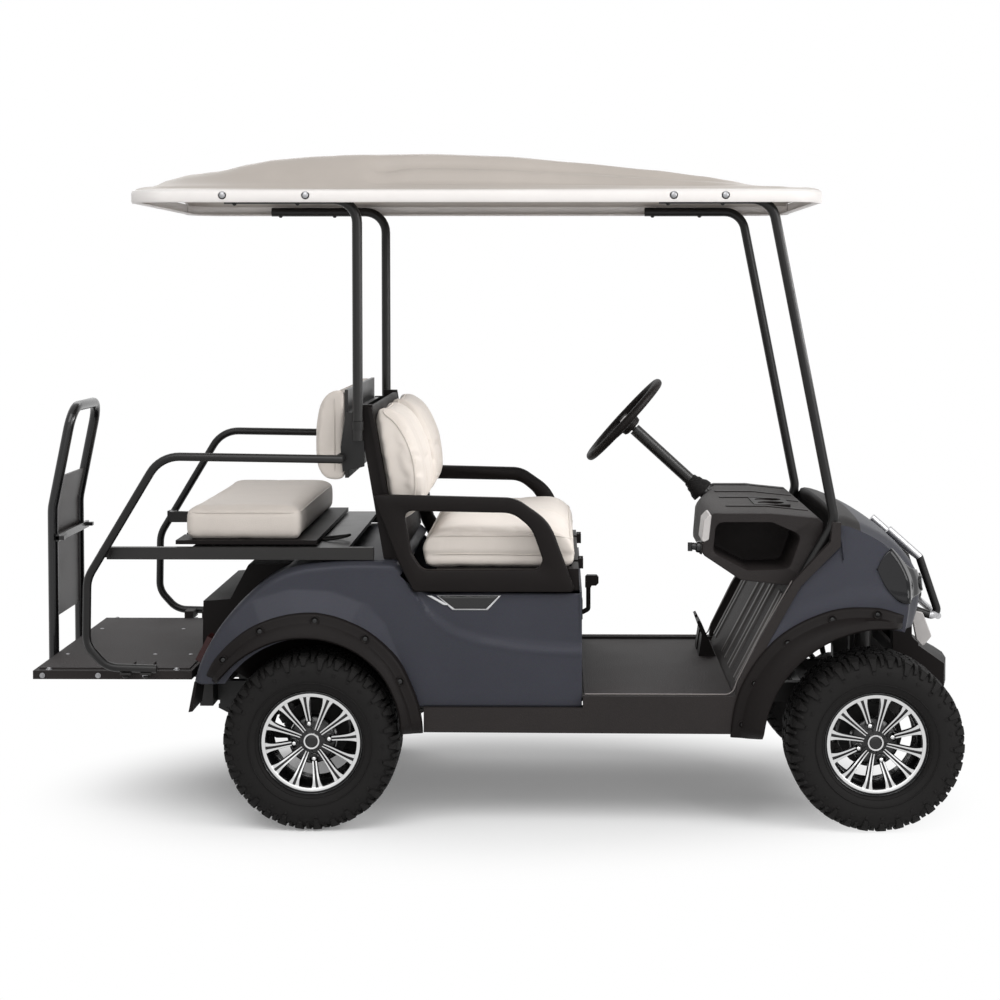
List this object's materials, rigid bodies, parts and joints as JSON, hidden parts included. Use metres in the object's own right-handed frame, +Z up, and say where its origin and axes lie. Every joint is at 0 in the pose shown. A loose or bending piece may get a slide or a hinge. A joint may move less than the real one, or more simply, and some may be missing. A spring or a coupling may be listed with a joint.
{
  "type": "golf cart",
  "caption": "Four-seat golf cart with long roof, rear-facing flip seat, foot step with grab bar, all-terrain tyres and moulded fenders.",
  "frame": {"origin": "on the floor, halfway along the whole length and on the centre line", "axes": "+X forward, +Y to the left, +Z up"},
  "size_m": [2.8165, 1.224, 2.038],
  "materials": {
    "body_paint": "dark blue-grey metallic, clear coated",
    "black_moulding": "fine grained black moulding",
    "black_steel": "satin black powder coat",
    "grey_steel": "plain steel",
    "tyre_rubber": "matt tyre rubber",
    "wheel_alloy": "machined faces, black between",
    "seat_vinyl": "stone coloured vinyl",
    "roof_shell": "sandstone moulded roof",
    "mat_rubber": "ribbed floor mat",
    "lamp_lens": "smoked lens",
    "tail_lens": "red lens",
    "engine_casting": "cast block",
    "bright_tube": "satin bright tube"
  },
  "bodies": {
    "chassis": {"frame_rails": "black_steel", "floor_pan": "black_moulding", "mats": "mat_rubber", "engine_block": "engine_casting", "rear_axle": "grey_steel", "springs": "black_steel", "front_axle": "black_steel", "rear_body": "body_paint", "tail_cover": "black_moulding", "front_cowl": "body_paint", "wheel_flares": "black_moulding", "front_fascia": "black_moulding", "front_bumper": "black_moulding", "brush_guard": "black_steel", "headlights": "lamp_lens", "dash": "black_moulding", "cup_holders": "black_moulding", "steering_column": "black_steel", "pedals": "black_moulding", "shift_lever": "black_moulding", "roof": "roof_shell", "rear_struts": "black_steel", "front_struts": "black_steel", "seat_base": "black_moulding", "seat_back_frame": "black_moulding", "backrest_cushions": "seat_vinyl", "armrests": "black_moulding", "rear_seat_frame": "black_steel", "rear_back_frame": "black_steel", "rear_back_cushion": "seat_vinyl", "hip_rails": "black_steel", "foot_platform": "black_moulding", "grab_bar": "black_steel", "tail_lamps": "tail_lens"},
    "knuckle_left": {"knuckle_left": "grey_steel"},
    "knuckle_right": {"knuckle_right": "grey_steel"},
    "wheel_front_left": {"tyre_front_left": "tyre_rubber", "rim_front_left": "wheel_alloy"},
    "wheel_front_right": {"tyre_front_right": "tyre_rubber", "rim_front_right": "wheel_alloy"},
    "wheel_rear_left": {"tyre_rear_left": "tyre_rubber", "rim_rear_left": "wheel_alloy"},
    "wheel_rear_right": {"tyre_rear_right": "tyre_rubber", "rim_rear_right": "wheel_alloy"},
    "steering_wheel": {"steering_wheel": "black_moulding"},
    "front_seat": {"seat_pan": "black_moulding", "seat_cushion": "seat_vinyl"},
    "rear_seat": {"flip_board": "black_moulding", "rear_cushion": "seat_vinyl"}
  },
  "joints": [
    {"name": "steer_left", "type": "hinge", "parent": "chassis", "child": "knuckle_left", "pos_m": [1.114, 0.355, 0.26], "axis": [0, 0, 1], "range_deg": [-28, 28]},
    {"name": "steer_right", "type": "hinge", "parent": "chassis", "child": "knuckle_right", "pos_m": [1.114, -0.355, 0.26], "axis": [0, 0, 1], "range_deg": [-28, 28]},
    {"name": "steering_turn", "type": "hinge", "parent": "chassis", "child": "steering_wheel", "pos_m": [0.402, 0.3, 1.156], "axis": [-0.7385, 0, 0.6743], "range_deg": [-392, 392]},
    {"name": "seat_lid", "type": "hinge", "parent": "chassis", "child": "front_seat", "pos_m": [0.25, 0, 0.7703], "axis": [0, 1, 0], "range_deg": [0, 55]},
    {"name": "rear_flip", "type": "hinge", "parent": "chassis", "child": "rear_seat", "pos_m": [-0.933, 0, 0.837], "axis": [0, -1, 0], "range_deg": [0, 180]},
    {"name": "spin_front_left", "type": "hinge", "parent": "knuckle_left", "child": "wheel_front_left", "pos_m": [1.114, 0.48, 0.26], "axis": [0, 1, 0], "continuous": true},
    {"name": "spin_front_right", "type": "hinge", "parent": "knuckle_right", "child": "wheel_front_right", "pos_m": [1.114, -0.48, 0.26], "axis": [0, 1, 0], "continuous": true},
    {"name": "spin_rear_left", "type": "hinge", "parent": "chassis", "child": "wheel_rear_left", "pos_m": [-0.542, 0.48, 0.26], "axis": [0, 1, 0], "continuous": true},
    {"name": "spin_rear_right", "type": "hinge", "parent": "chassis", "child": "wheel_rear_right", "pos_m": [-0.542, -0.48, 0.26], "axis": [0, 1, 0], "continuous": true}
  ],
  "couplings": [
    {"joint": "steer_right", "follows": "steer_left", "ratio": 1},
    {"joint": "steering_turn", "follows": "steer_left", "ratio": 14}
  ]
}
